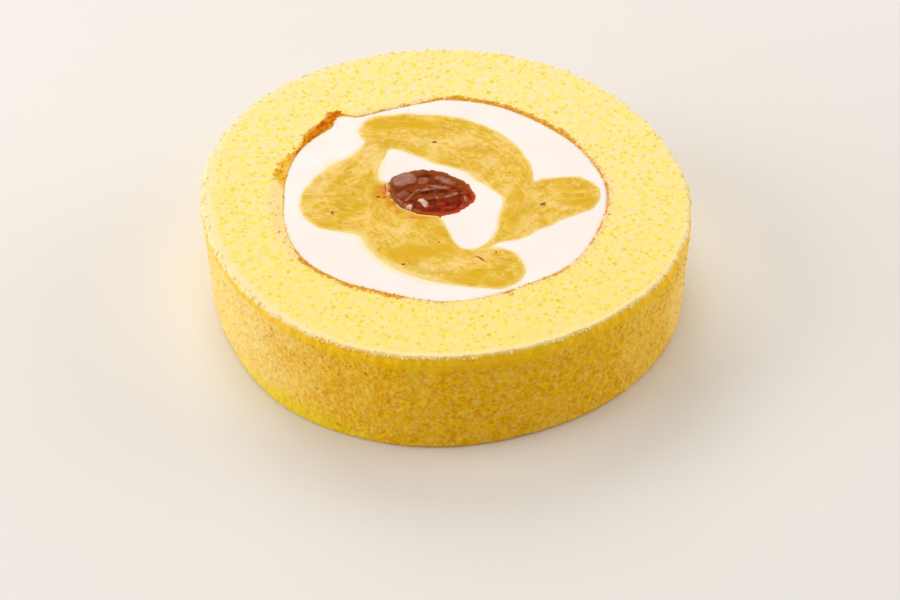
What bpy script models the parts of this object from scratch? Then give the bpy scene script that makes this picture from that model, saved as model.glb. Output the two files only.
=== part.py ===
"""A thick slice of sweet potato roll cake, lying on one of its two cut faces.

A ring of sponge goes once round a filling of whipped cream. Bands of sweet potato cream are
piped through the whipped cream in a loose swirl, round a core of dark caramel sauce. Every layer
runs through the whole slice, from the lower cut face to the upper one.

The origin is in the middle of the lower cut face, and +Z points up through the slice.
"""

import math

import bpy
import bmesh
import numpy as np
from mathutils import Matrix, Vector, noise

MM = 0.001

# Driving dimensions of the slice.
THICKNESS = 21.5 * MM
ROLL_RADIUS = 45.0 * MM
FOOT_RADIUS = 44.3 * MM
FILLING_RADIUS = 29.5 * MM

# Edges of the sponge: both are a little rounded.
RIM_ROUND = 0.7 * MM
FOOT_ROUND = 0.8 * MM
ROUND_STEPS = 3

# Facets of the sponge: stretches round the ring, across the cut face and up the side.
RING_STEPS = 128
FACE_STEPS = 7
SIDE_STEPS = 6
BASE_STEPS = 3

# Shares of the way from the inner face to the outside: where the side and the cut face begin.
SIDE_SHARE = 0.9
FACE_SHARE = 0.01

# The crumb's unevenness, as (size of the bumps, height of the bumps).
CRUMB_BUMPS = ((4.2 * MM, 0.22 * MM), (2.3 * MM, 0.12 * MM))

# Room between neighbouring layers, which keeps the solids apart.
LAYER_GAP = 0.3 * MM
FILLING_DROP = 0.1 * MM

# The roll is a little out of round: (waves round the ring, cosine part, sine part).
ROLL_WAVES = (
    (2, 0.16 * MM, -0.43 * MM),
    (3, 0.27 * MM, -0.01 * MM),
    (4, -0.09 * MM, -0.39 * MM),
)

# Distance from the middle to the sponge's inner face, in millimetres, by angle in degrees.
INNER_FACE = (
    (0, 30.2), (16, 29.4), (32, 28.6), (50, 28.0), (70, 28.3), (90, 28.3), (105, 27.4),
    (120, 27.8), (140, 29.2), (155, 30.0), (180, 29.6), (200, 30.4), (215, 31.1), (230, 30.4),
    (250, 29.1), (270, 29.7), (300, 29.1), (320, 30.1), (340, 29.8),
)

# Radius of the foot, in millimetres, by angle in degrees, before the roll's waves are added.
FOOT_EDGE = (
    (0, 44.2), (45, 44.3), (90, 44.3), (135, 44.0), (180, 43.7), (204, 43.7), (218, 44.3),
    (231, 44.9), (250, 45.0), (270, 45.1), (286, 44.8), (302, 44.6), (320, 44.2), (340, 44.1),
)

# Notch where the inner end of the sponge sheet meets the turn that covers it.
SEAM_ANGLE = math.radians(131.0)
SEAM_WIDTH = math.radians(3.5)
SEAM_DEPTH = 2.1 * MM

# Piped bands of the sweet potato cream, each from its start to its end, in millimetres:
# (x, y, half of the band's width).
UPPER_BAND = (
    (-11.3, 18.8, 4.6), (-6.0, 18.3, 5.6), (1.3, 15.7, 7.1), (7.2, 12.2, 6.3),
    (10.8, 7.2, 5.3), (13.0, 1.6, 3.1), (14.3, -3.0, 2.6),
)
RIGHT_BAND = (
    (23.2, -0.1, 5.4), (19.0, -1.8, 5.7), (15.4, -5.2, 4.9), (13.0, -9.2, 3.1),
    (10.6, -11.8, 1.5), (9.0, -13.0, 0.5),
)
LEFT_BAND = (
    (-13.0, 13.4, 2.4), (-15.0, 9.4, 3.1), (-17.7, 4.2, 5.3), (-19.1, -1.2, 7.0),
    (-19.4, -3.9, 6.2), (-16.0, -6.6, 4.5),
)
LOWER_BAND = (
    (-13.0, -1.0, 5.0), (-8.5, -8.0, 7.4), (-6.0, -13.2, 7.4), (-2.8, -17.2, 6.0),
    (2.4, -20.3, 4.9), (8.9, -20.6, 5.6),
)
SAUCE_CORE = ((-6.0, 2.3, 4.3), (-3.4, 1.1, 6.2), (-0.6, -0.1, 5.7), (2.0, -0.4, 3.7))

# How the bands run into each other, and how their outlines waver.
BAND_BLEND = 1.0 * MM
END_BLEND = 0.6 * MM
WAVER_SIZE = 3.0 * MM
WAVER_DEPTH = 0.18 * MM
BAND_STEP = 0.5 * MM

# Fineness of the filling's outlines.
GRID_HALF = 33.0 * MM
GRID_STEP = 0.6 * MM
OUTLINE_STEP = 0.7 * MM
SHORTEST_LOOP = 11.0 * MM
WELD = 0.01 * MM

# Edges between faces that meet at more than this angle are sharp.
SHARP_ANGLE = math.radians(40.0)

# Linear colour and roughness of each layer.
SPONGE_LOOK = ((0.93, 0.72, 0.22), 0.9)
CREAM_LOOK = ((0.96, 0.90, 0.80), 0.55)
SWEET_POTATO_LOOK = ((0.84, 0.52, 0.10), 0.5)
SAUCE_LOOK = ((0.16, 0.030, 0.008), 0.2)


def clear_scene():
    """Remove every object that the scene starts with."""
    for thing in list(bpy.data.objects):
        bpy.data.objects.remove(thing, do_unlink=True)


def make_material(name, look):
    """Return a plain material for one layer."""
    colour, roughness = look
    material = bpy.data.materials.new(name)
    material.use_nodes = True
    shader = material.node_tree.nodes["Principled BSDF"]
    shader.inputs["Base Color"].default_value = (*colour, 1.0)
    shader.inputs["Roughness"].default_value = roughness
    shader.inputs["Metallic"].default_value = 0.0
    return material


def smooth_curve(before, start, end, after, share):
    """Read a Catmull-Rom curve between start and end."""
    return 0.5 * (
        2.0 * start
        + (end - before) * share
        + (2.0 * before - 5.0 * start + 4.0 * end - after) * share ** 2
        + (3.0 * start - before - 3.0 * end + after) * share ** 3
    )


def radius_at(table, angle):
    """Read a smooth curve through a table of (angle in degrees, radius in mm)."""
    degrees = math.degrees(angle) % 360.0
    count = len(table)
    here = max(index for index in range(count) if table[index][0] <= degrees)
    knots = [table[(here + step) % count] for step in (-1, 0, 1, 2)]
    start = knots[1][0]
    reach = (knots[2][0] - start) % 360.0
    return smooth_curve(*(knot[1] for knot in knots), (degrees - start) / reach) * MM


def inner_radius(angle):
    """Distance from the middle to the sponge's inner face at an angle."""
    radius = radius_at(INNER_FACE, angle)
    off_seam = (angle - SEAM_ANGLE + math.pi) % math.tau - math.pi
    return radius + SEAM_DEPTH * math.exp(-((off_seam / SEAM_WIDTH) ** 2))


def outer_radius(angle):
    """Distance from the middle to the outside of the roll at an angle."""
    radius = ROLL_RADIUS
    for waves, cosine, sine in ROLL_WAVES:
        radius += cosine * math.cos(waves * angle) + sine * math.sin(waves * angle)
    return radius


def crumb_height(point):
    """Height of the crumb's unevenness at a point."""
    height = 0.0
    for size, bump in CRUMB_BUMPS:
        height += bump * noise.noise(Vector(point) / size)
    return height


def arc(centre_r, centre_z, radius, start, end):
    """Points of a rounded edge, from one angle to another."""
    points = []
    for step in range(ROUND_STEPS + 1):
        turn = math.radians(start + (end - start) * step / ROUND_STEPS)
        points.append((centre_r + radius * math.cos(turn), centre_z + radius * math.sin(turn)))
    return points


def stretch(start, end, steps):
    """Points between two corners, without the corners themselves."""
    shares = [step / steps for step in range(1, steps)]
    return [tuple(a + (b - a) * share for a, b in zip(start, end)) for share in shares]


def sponge_section():
    """Section of the sponge ring as a closed loop, down its outer side first."""
    rim = arc(ROLL_RADIUS - RIM_ROUND, THICKNESS - RIM_ROUND, RIM_ROUND, 90, 0)
    foot = arc(FOOT_RADIUS - FOOT_ROUND, FOOT_ROUND, FOOT_ROUND, 0, -90)
    lower_corner = (FILLING_RADIUS, 0.0)
    upper_corner = (FILLING_RADIUS, THICKNESS)
    loop = rim + stretch(rim[-1], foot[0], SIDE_STEPS) + foot
    loop += stretch(foot[-1], lower_corner, BASE_STEPS) + [lower_corner]
    loop += [upper_corner] + stretch(upper_corner, rim[0], FACE_STEPS)
    return loop


def turn_ring(name, section, steps):
    """Turn a closed section round the Z axis with a Screw, and return the mesh object."""
    mesh = bpy.data.meshes.new(name)
    builder = bmesh.new()
    corners = [builder.verts.new((r, 0.0, z)) for r, z in section]
    for index, corner in enumerate(corners):
        builder.edges.new((corner, corners[(index + 1) % len(corners)]))
    builder.to_mesh(mesh)
    builder.free()
    ring = bpy.data.objects.new(name, mesh)
    bpy.context.scene.collection.objects.link(ring)
    screw = ring.modifiers.new("turn", "SCREW")
    screw.axis = "Z"
    screw.angle = math.tau
    screw.steps = steps
    screw.render_steps = steps
    screw.use_merge_vertices = True
    screw.merge_threshold = WELD
    return ring


def apply_modifiers(thing):
    """Replace an object's mesh with its evaluated one."""
    evaluated = thing.evaluated_get(bpy.context.evaluated_depsgraph_get())
    mesh = bpy.data.meshes.new_from_object(evaluated)
    thing.modifiers.clear()
    thing.data = mesh


def make_sponge(collection):
    """The sponge ring: a turned section, pushed out to the roll's real outlines."""
    sponge = turn_ring("sponge", sponge_section(), RING_STEPS)
    apply_modifiers(sponge)
    builder = bmesh.new()
    builder.from_mesh(sponge.data)
    for vertex in builder.verts:
        radius = math.hypot(vertex.co.x, vertex.co.y)
        angle = math.atan2(vertex.co.y, vertex.co.x)
        share = (radius - FILLING_RADIUS) / (ROLL_RADIUS - FILLING_RADIUS)
        inner = inner_radius(angle)
        height = vertex.co.z
        spread = (radius_at(FOOT_EDGE, angle) - FOOT_RADIUS) * (1.0 - height / THICKNESS)
        radius = inner + share * (outer_radius(angle) + spread - inner)
        bump = crumb_height((radius * math.cos(angle), radius * math.sin(angle), height))
        if share > SIDE_SHARE and height > FOOT_ROUND:
            radius += bump
        if share > FACE_SHARE and height > THICKNESS - RIM_ROUND:
            height += bump
        vertex.co = (radius * math.cos(angle), radius * math.sin(angle), height)
    bmesh.ops.recalc_face_normals(builder, faces=builder.faces)
    builder.to_mesh(sponge.data)
    builder.free()
    finish(sponge, collection, make_material("sponge", SPONGE_LOOK))
    return sponge


def band_samples(band):
    """Closely spaced (x, y, half width) rows along one piped band, in metres."""
    knots = np.array(band) * MM
    first = 2.0 * knots[0] - knots[1]
    last = 2.0 * knots[-1] - knots[-2]
    knots = np.vstack([first, knots, last])
    rows = []
    for index in range(1, len(knots) - 2):
        length = np.hypot(*(knots[index + 1] - knots[index])[:2])
        steps = max(2, int(length / BAND_STEP))
        for step in range(steps):
            rows.append(smooth_curve(*knots[index - 1:index + 3], step / steps))
    rows.append(knots[-2])
    return np.array(rows)


def distance_to_band(band, x, y):
    """Distance outside a piped band, negative inside it."""
    nearest = np.full(x.shape, np.inf)
    for centre_x, centre_y, half_width in band_samples(band):
        nearest = np.minimum(nearest, np.hypot(x - centre_x, y - centre_y) - half_width)
    return nearest


def blend(first, second, reach):
    """Union of two distances, with a fillet where the shapes meet."""
    overlap = np.maximum(reach - np.abs(first - second), 0.0) / reach
    return np.minimum(first, second) - overlap ** 2 * reach / 4.0


def waver(x, y):
    """Slow wavering of the filling's outlines."""
    rows = zip(x.ravel() / WAVER_SIZE, y.ravel() / WAVER_SIZE)
    values = [noise.noise(Vector((column, row, 0.0))) for column, row in rows]
    return WAVER_DEPTH * np.array(values).reshape(x.shape)


def filling_fields():
    """Distances outside the whipped cream, the sweet potato cream and the sauce, on a grid."""
    line = np.arange(-GRID_HALF, GRID_HALF + GRID_STEP / 2.0, GRID_STEP)
    x, y = np.meshgrid(line, line, indexing="ij")
    right_side = blend(distance_to_band(UPPER_BAND, x, y), distance_to_band(RIGHT_BAND, x, y),
                       BAND_BLEND)
    left_side = blend(distance_to_band(LEFT_BAND, x, y), distance_to_band(LOWER_BAND, x, y),
                      BAND_BLEND)
    wavering = waver(x, y)
    swirl = blend(right_side, left_side, END_BLEND) + wavering
    core = distance_to_band(SAUCE_CORE, x, y) + wavering
    reach = np.hypot(x, y)
    angles = np.arctan2(y, x)
    inner = np.array([inner_radius(angle) for angle in angles.ravel()]).reshape(x.shape)
    disc = reach - inner + LAYER_GAP
    cream = np.maximum(disc, np.maximum(LAYER_GAP - swirl, LAYER_GAP - core))
    sweet_potato = np.maximum(swirl, LAYER_GAP - core)
    return line, cream, sweet_potato, core


def crossing(line, field, low, high):
    """Point between two grid corners where the field is zero."""
    start = field[low]
    share = start / (start - field[high])
    return tuple(line[a] + (line[b] - line[a]) * share for a, b in zip(low, high))


def trace_outlines(line, field):
    """Closed loops along the zero line of a field, found by marching over the grid's cells."""
    follows = {}
    places = {}
    count = len(line) - 1
    for column in range(count):
        for row in range(count):
            corners = [(column, row), (column + 1, row), (column + 1, row + 1), (column, row + 1)]
            inside = [field[corner] < 0.0 for corner in corners]
            if all(inside) or not any(inside):
                continue
            exits = []
            entries = []
            for side in range(4):
                after = (side + 1) % 4
                if inside[side] == inside[after]:
                    continue
                key = tuple(sorted((corners[side], corners[after])))
                places[key] = crossing(line, field, *key)
                (exits if inside[side] else entries).append((side, key))
            for side, key in exits:
                gaps = [((other - side) % 4, found) for other, found in entries]
                follows[key] = min(gaps)[1]
    loops = []
    while follows:
        key = next(iter(follows))
        loop = []
        while key in follows:
            loop.append(places[key])
            key = follows.pop(key)
        loops.append(np.array(loop))
    return loops


def even_out(loop, step):
    """Points evenly spaced along a closed loop."""
    closed = np.vstack([loop, loop[:1]])
    lengths = np.hypot(*np.diff(closed, axis=0).T)
    travelled = np.concatenate([[0.0], np.cumsum(lengths)])
    count = int(round(travelled[-1] / step))
    wanted = np.arange(count) * travelled[-1] / count
    return np.column_stack([np.interp(wanted, travelled, closed[:, axis]) for axis in (0, 1)])


def extrude_outline(name, loops, height):
    """Extrude filled outlines up from the floor and return a closed mesh object."""
    curve = bpy.data.curves.new(name, "CURVE")
    curve.dimensions = "2D"
    curve.fill_mode = "BOTH"
    curve.extrude = height / 2.0
    for loop in loops:
        points = even_out(loop, OUTLINE_STEP)
        spline = curve.splines.new("POLY")
        spline.points.add(len(points) - 1)
        for target, (x, y) in zip(spline.points, points):
            target.co = (x, y, 0.0, 1.0)
        spline.use_cyclic_u = True
    drawn = bpy.data.objects.new(name + "_outline", curve)
    bpy.context.scene.collection.objects.link(drawn)
    evaluated = drawn.evaluated_get(bpy.context.evaluated_depsgraph_get())
    mesh = bpy.data.meshes.new_from_object(evaluated)
    mesh.name = name
    bpy.data.objects.remove(drawn, do_unlink=True)
    builder = bmesh.new()
    builder.from_mesh(mesh)
    bmesh.ops.remove_doubles(builder, verts=builder.verts, dist=WELD)
    bmesh.ops.translate(builder, verts=builder.verts, vec=(0.0, 0.0, height / 2.0))
    bmesh.ops.recalc_face_normals(builder, faces=builder.faces)
    builder.to_mesh(mesh)
    builder.free()
    thing = bpy.data.objects.new(name, mesh)
    bpy.context.scene.collection.objects.link(thing)
    return thing


def main_loops(loops):
    """The loops that are long enough to be part of a layer."""
    return [loop for loop in loops if len(loop) * GRID_STEP > SHORTEST_LOOP]


def finish(thing, collection, material):
    """Give a layer its material, its shading and its place in the cake's collection."""
    thing.data.materials.clear()
    thing.data.materials.append(material)
    thing.data.shade_smooth()
    thing.data.set_sharp_from_angle(angle=SHARP_ANGLE)
    for holder in list(thing.users_collection):
        holder.objects.unlink(thing)
    collection.objects.link(thing)


def make_filling(collection):
    """Whipped cream, the sweet potato swirl and the sauce core, each from face to face."""
    line, cream, sweet_potato, core = filling_fields()
    height = THICKNESS - FILLING_DROP
    layers = (
        ("whipped_cream", cream, CREAM_LOOK),
        ("sweet_potato_cream", sweet_potato, SWEET_POTATO_LOOK),
        ("caramel_sauce", core, SAUCE_LOOK),
    )
    made = []
    for name, field, look in layers:
        loops = main_loops(trace_outlines(line, field))
        layer = extrude_outline(name, loops, height)
        finish(layer, collection, make_material(name, look))
        made.append(layer)
    return made


def centre_on_origin(sponge, layers):
    """Shift all layers so that the sponge's box is centred on the Z axis."""
    places = np.array([vertex.co[:2] for vertex in sponge.data.vertices])
    middle = (places.min(axis=0) + places.max(axis=0)) / 2.0
    shift = Matrix.Translation((-middle[0], -middle[1], 0.0))
    for layer in (sponge, *layers):
        layer.data.transform(shift)


def main():
    clear_scene()
    collection = bpy.data.collections.new("sweet_potato_roll_cake")
    bpy.context.scene.collection.children.link(collection)
    sponge = make_sponge(collection)
    filling = make_filling(collection)
    centre_on_origin(sponge, filling)


main()
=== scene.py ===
"""Finish of the slice of sweet potato roll cake, round the fixed frame of its solids."""

import math
import random

import bpy
import bmesh
import numpy as np
from mathutils import Matrix, Vector, kdtree, noise
from mathutils.bvhtree import BVHTree


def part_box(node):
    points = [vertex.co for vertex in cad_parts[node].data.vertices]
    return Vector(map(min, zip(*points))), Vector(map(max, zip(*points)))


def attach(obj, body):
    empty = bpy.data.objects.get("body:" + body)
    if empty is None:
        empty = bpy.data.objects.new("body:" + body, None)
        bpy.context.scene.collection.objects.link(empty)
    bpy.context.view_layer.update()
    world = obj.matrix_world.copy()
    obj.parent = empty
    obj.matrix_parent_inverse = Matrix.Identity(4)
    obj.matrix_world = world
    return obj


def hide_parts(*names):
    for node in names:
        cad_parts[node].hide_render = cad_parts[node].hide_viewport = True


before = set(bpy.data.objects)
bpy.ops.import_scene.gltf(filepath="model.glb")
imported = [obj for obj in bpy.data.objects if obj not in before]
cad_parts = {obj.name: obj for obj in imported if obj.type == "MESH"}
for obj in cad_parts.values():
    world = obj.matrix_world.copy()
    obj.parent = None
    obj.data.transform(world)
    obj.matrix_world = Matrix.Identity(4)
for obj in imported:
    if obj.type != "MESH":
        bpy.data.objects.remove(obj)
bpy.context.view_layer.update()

MM = 0.001
# A mark this low has no effect.
NOWHERE = -9.0

# The slice, read from the frame.
SPONGE_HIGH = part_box("sponge")[1]
FILLING_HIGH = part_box("whipped_cream")[1]
FACE_RISE = 0.1 * MM
FACE_HEIGHT = FILLING_HIGH.z + FACE_RISE
MIDDLE_HEIGHT = FACE_HEIGHT / 2.0
# Heights at which the sponge's outlines are read, the steps of a turn, and how many smooth them.
FOOT_LEVEL = 1.5 * MM
RIM_LEVEL = FACE_HEIGHT - 1.5 * MM
TABLE_SIZE = 1440
OUTLINE_BLUR = 25

# Sponge: the crumb with its pale rim, and the gritty golden skin below the rim.
SECTOR_STEPS = 34
SECTOR_DOUBLINGS = 5
CRUMB_STEP = 0.26 * MM
SKIN_STEP = 0.28 * MM
BED_STEP = 1.1 * MM
HIDDEN_STEP = 8.0 * MM
RIM_INSET = 0.8 * MM
RIM_DEPTH = 1.8 * MM
RIM_OVERHANG = 0.04 * MM
SKIN_THICKNESS = 0.9 * MM
SKIN_LAP = 0.3 * MM
FOOT_LIP = 1.5 * MM
FOOT_ROUND = 0.7 * MM
EDGE_DEPTH = 0.6 * MM
OVERLAP = 0.3 * MM
WELD = 0.01 * MM

# Fillings: how far each grows over its gaps, the size of its cells, how much higher its upper face
# stands than the solid's, and how far its lower face is lifted.
CREAM_GROWTH = 0.45 * MM
SWIRL_GROWTH = 0.15 * MM
SAUCE_GROWTH = 0.02 * MM
CREAM_STEP = 0.5 * MM
SWIRL_STEP = 0.4 * MM
SAUCE_STEP = 0.18 * MM
CREAM_RISE = 0.05 * MM
SWIRL_RISE = 0.07 * MM
SAUCE_RISE = 0.06 * MM
SWIRL_LIFT = 0.05 * MM
SAUCE_LIFT = 0.1 * MM
# Swells of the cut faces: (size, height). A face dips at its outline, twice as deep at the sponge.
CUT_SWELLS = ((5.0 * MM, 0.08 * MM), (1.6 * MM, 0.03 * MM))
EDGE_DIP = 0.06 * MM
SPONGE_EDGE = 0.8 * MM
DIP_FADE = 0.2
# Waves of the fillings' outlines: (size, reach sideways), the same where two meet, none at the sponge.
SWAYS = ((3.0 * MM, 0.4 * MM), (1.1 * MM, 0.12 * MM))
SAUCE_SWAY = (0.9 * MM, 0.35 * MM)
SWAY_FADE = 0.9
CALM_EDGE = 1.5 * MM

# Bubbles of the crumb: (size of a cell, share of cells with a bubble, widest, depth).
BUBBLES = (
    (2.6 * MM, 0.40, 0.24, 0.28 * MM), (1.3 * MM, 0.55, 0.34, 0.18 * MM),
    (0.8 * MM, 0.60, 0.40, 0.10 * MM),
)
# Swells of the crumb and of the rim: (size, height).
CRUMB_SWELLS = ((3.4 * MM, 0.10 * MM), (1.1 * MM, 0.05 * MM), (0.55 * MM, 0.04 * MM))
RIM_SWELLS = ((3.5 * MM, 0.24 * MM), (1.4 * MM, 0.62 * MM), (0.7 * MM, 0.30 * MM))
# How the rim's swells and the crumb's relief fade, in millimetres inwards and down, and how fast
# the rim falls away.
SWELL_REACH = 0.9
RELIEF_DEPTH = 1.2
RIM_SLOPE = 2.2
INNER_DIP = 0.06 * MM
INNER_DIP_REACH = 0.3
RISE_LIMITS = (-0.4 * MM, 0.2 * MM)
RICH_REACH = 76.0 * MM
# Grit of the skin: (size of a grain's cell, height), and a grain's width as a share of its cell.
GRIT_CELLS = ((0.95 * MM, 0.22 * MM), (0.6 * MM, 0.13 * MM))
GRIT_WIDTH = 0.7
SKIN_SWELLS = ((6.0 * MM, 0.14 * MM), (1.9 * MM, 0.12 * MM), (0.8 * MM, 0.06 * MM))
SMOOTH_FOOT = 0.8 * MM
# Lower and upper end of the smooth golden band under the rim, in millimetres below the face. The band
# is painted a brighter gold, as painted light where the top of the side catches more light than lower
# down.
PAINTED_LIGHT_BAND = (3.8, 1.8)

# Browned skin of the rolled sheet along the inner edge: (angle in degrees, width in mm).
BROWNED_EDGE = (
    (0, 0.25), (12, 0.35), (24, 0.55), (34, 0.65), (42, 0.9), (50, 0.9), (60, 0.75), (70, 0.8),
    (80, 0.9), (88, 0.9), (94, 0.6), (99, 0.3), (110, 0.25), (122, 0.25), (127, 0.3), (129, 0.9),
    (132, 1.9), (140, 1.9), (147, 1.5), (150, 0.5), (157, 0.6), (160, 0.1), (175, 0.0),
    (203, 0.0), (208, 0.2), (213, 0.45), (217, 0.85), (224, 0.75), (234, 0.7), (240, 0.7),
    (247, 0.6), (251, 1.0), (254, 0.9), (256, 0.1), (270, 0.08), (282, 0.05), (289, 0.1),
    (292, 0.5), (296, 0.1), (304, 0.15), (311, 0.5), (317, 0.35), (321, 0.05), (333, 0.35),
    (338, 0.25), (345, 0.3), (353, 0.25),
)
# How many times that width the colour reaches, and what is taken off, in mm.
BROWNED_SPREAD = 1.6
BROWNED_DROP = 0.1
# Amber crumb beside the browned skin, in the same way.
AMBER_EDGE = (
    (0, 0.4), (40, 0.9), (60, 1.0), (85, 1.2), (98, 0.5), (110, 0.3), (125, 0.5), (132, 2.3),
    (148, 1.9), (156, 1.0), (161, 2.2), (172, 2.4), (177, 0.5), (190, 0.2), (205, 0.3),
    (216, 1.0), (240, 0.9), (253, 1.3), (258, 0.3), (285, 0.2), (292, 0.6), (300, 0.2),
    (312, 0.6), (322, 0.2), (336, 0.4), (350, 0.4),
)
# Peach crumb of the inner edge, in the same way.
PEACH_EDGE = (
    (0, 1.5), (30, 1.3), (60, 0.9), (95, 1.5), (125, 1.6), (132, 0.5), (150, 0.8), (170, 2.5),
    (185, 3.0), (205, 2.2), (220, 1.2), (270, 1.0), (320, 1.3),
)
# How ragged the rim is, 1 for its swells as they stand: (angle in degrees, share).
RAGGED_RIM = (
    (0, 0.9), (40, 1.3), (90, 1.5), (140, 1.3), (180, 0.9), (220, 0.7), (270, 0.6), (320, 0.7),
)
# Width of the pale band inside the rim: (angle in degrees, width in mm).
PALE_RIM = (
    (0, 1.2), (90, 1.6), (150, 2.4), (180, 3.2), (215, 2.8), (250, 2.2), (280, 2.2), (330, 1.8),
)
# Where the golden skin begins, inwards from the rim's corner, or further down the side below 0:
# (angle in degrees, distance in mm).
WORN_RIM = (
    (0, -1.6), (60, -3.0), (120, -3.0), (180, -3.0), (215, -1.4), (235, -0.5), (250, -0.25),
    (270, -0.25), (285, -0.3), (300, -0.25), (320, -0.35), (345, -0.9),
)
# How pale the side is, from 0 to 1: (angle in degrees, share). Paler at the left and right, partly for
# paler crumb there and partly as painted light and sheen where those sides face the lamps; least at
# the front, which lies in shade.
PALE_AND_LIT_SIDE = (
    (0, 0.8), (40, 0.5), (90, 0.4), (140, 0.6), (180, 1.0), (205, 1.0), (222, 0.7), (237, 0.35),
    (255, 0.12), (275, 0.05), (305, 0.1), (330, 0.32), (345, 0.65),
)
# How lemon yellow the foot is, from 0 to 1: (angle in degrees, share).
LEMON_FOOT = ((0, 0.0), (195, 0.1), (212, 0.6), (232, 1.0), (248, 0.8), (264, 0.3), (285, 0.0))
LEMON_REACH = 11.0 * MM

# Flow of the sweet potato cream as it was piped, in millimetres: (x, y, half width).
FLOW_LINES = (
    ((-13.5, 18.5, 5.0), (-6.0, 18.3, 5.8), (1.3, 15.7, 7.1), (7.2, 12.2, 6.3), (10.8, 7.2, 5.3),
     (13.0, 1.6, 3.1), (14.3, -3.0, 2.6), (12.0, -9.5, 3.0), (9.5, -12.5, 1.5)),
    ((27.5, 0.5, 5.4), (21.0, -1.0, 5.7), (16.4, -4.2, 4.9), (13.5, -8.7, 3.3), (10.6, -11.8, 1.5)),
    ((-12.5, 14.5, 2.4), (-15.5, 9.4, 3.1), (-18.5, 5.2, 5.3), (-22.0, 0.5, 4.0)),
    ((-26.0, -1.5, 6.5), (-19.0, -2.0, 7.0), (-13.0, -3.5, 6.0), (-8.5, -8.0, 7.4),
     (-5.0, -13.2, 7.4), (-1.5, -17.2, 6.0), (3.4, -19.8, 4.9), (11.9, -20.6, 5.6)),
)
FLOW_STEP = 0.5
# Room between two lines on the map, and the reach of a line as a share of its half width.
FLOW_GAP = 40.0
FLOW_SPREAD = 0.35

# Deep yellow patches of the sweet potato cream: (x, y, reach along x, reach along y), in mm.
YELLOW_PATCHES = (
    (-5.5, 20.6, 4.6, 1.8), (-12.0, 20.8, 2.6, 1.7), (-10.5, 15.2, 1.8, 1.3), (1.0, 9.0, 1.4, 0.8),
    (-7.5, -16.5, 3.4, 2.4), (-2.5, -15.8, 3.6, 1.8), (0.5, -15.2, 1.6, 1.2), (3.0, -24.3, 3.4, 1.3),
    (9.8, -24.4, 2.8, 1.5), (5.6, -21.8, 2.2, 1.3), (-21.5, -8.8, 3.2, 1.0), (12.5, -6.5, 1.5, 3.0),
    (13.2, -0.5, 1.3, 2.4), (-18.3, -5.6, 1.6, 1.1), (26.5, -2.0, 1.2, 1.6), (-0.5, -10.5, 1.6, 1.6),
    (-3.5, -7.2, 1.6, 0.9), (-12.5, 0.5, 1.6, 2.2), (21.0, 4.6, 3.0, 0.8), (6.2, 12.6, 1.2, 0.8),
    (23.5, -1.6, 3.6, 1.8),
)
# Pale patches of the sweet potato cream, in the same way. One that comes again is stronger.
PALE_PATCHES = (
    (-13.6, 10.5, 1.6, 3.6), (-21.0, 7.5, 2.8, 2.0), (-4.0, 15.6, 4.0, 1.6), (3.6, 16.0, 3.4, 2.4),
    (8.0, 9.5, 2.0, 3.0), (-24.0, 1.5, 2.2, 2.6), (20.4, -2.6, 1.4, 0.6), (-8.0, -10.0, 2.4, 1.4),
    (-3.0, -20.5, 3.6, 1.6), (2.5, -19.0, 2.4, 1.4), (16.0, -6.5, 3.0, 1.0), (11.6, 1.8, 1.2, 2.6),
    (20.6, -2.6, 1.3, 0.5), (20.6, -2.5, 1.3, 0.5),
)
# Where the two creams run into each other softly, in the same way.
BLENDED_EDGES = (
    (-14.0, -14.5, 2.6, 4.0), (-9.0, -20.5, 4.0, 2.6), (-2.5, -23.5, 4.0, 2.2), (-21.0, 9.5, 3.0, 2.0),
    (-12.3, 8.5, 1.6, 4.5), (6.5, 6.5, 3.0, 2.6), (-16.5, -10.5, 2.0, 1.5),
)
BLEND_STRENGTH = 2.5
# Smear of sweet potato cream between the arm's tip and the lower lobe: (x, y, half width), in mm.
SMEAR = ((9.4, -12.6, 1.0), (7.6, -14.4, 0.8), (6.0, -15.6, 0.7), (4.4, -16.6, 0.8))
PATH_STEPS = 12

# Skin fibres in the sweet potato cream: (x, y, length, width, turn in degrees), in mm.
FIBRES = (
    (18.1, -2.8, 1.7, 1.2, 15), (6.4, -17.9, 2.1, 0.5, -45), (-2.0, 15.5, 0.9, 0.5, 10),
    (-20.6, -5.1, 0.55, 0.9, 10), (-1.0, -13.4, 0.6, 0.5, 0), (-7.5, -19.4, 0.55, 0.45, 30),
    (9.2, -16.2, 0.7, 0.4, 60), (12.0, 6.4, 0.5, 0.4, 20),
    (-12.3, -0.6, 0.7, 0.5, 0),
)
FIBRE_THICKNESS = 0.13
BIT_RISE = 0.05 * MM
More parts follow.
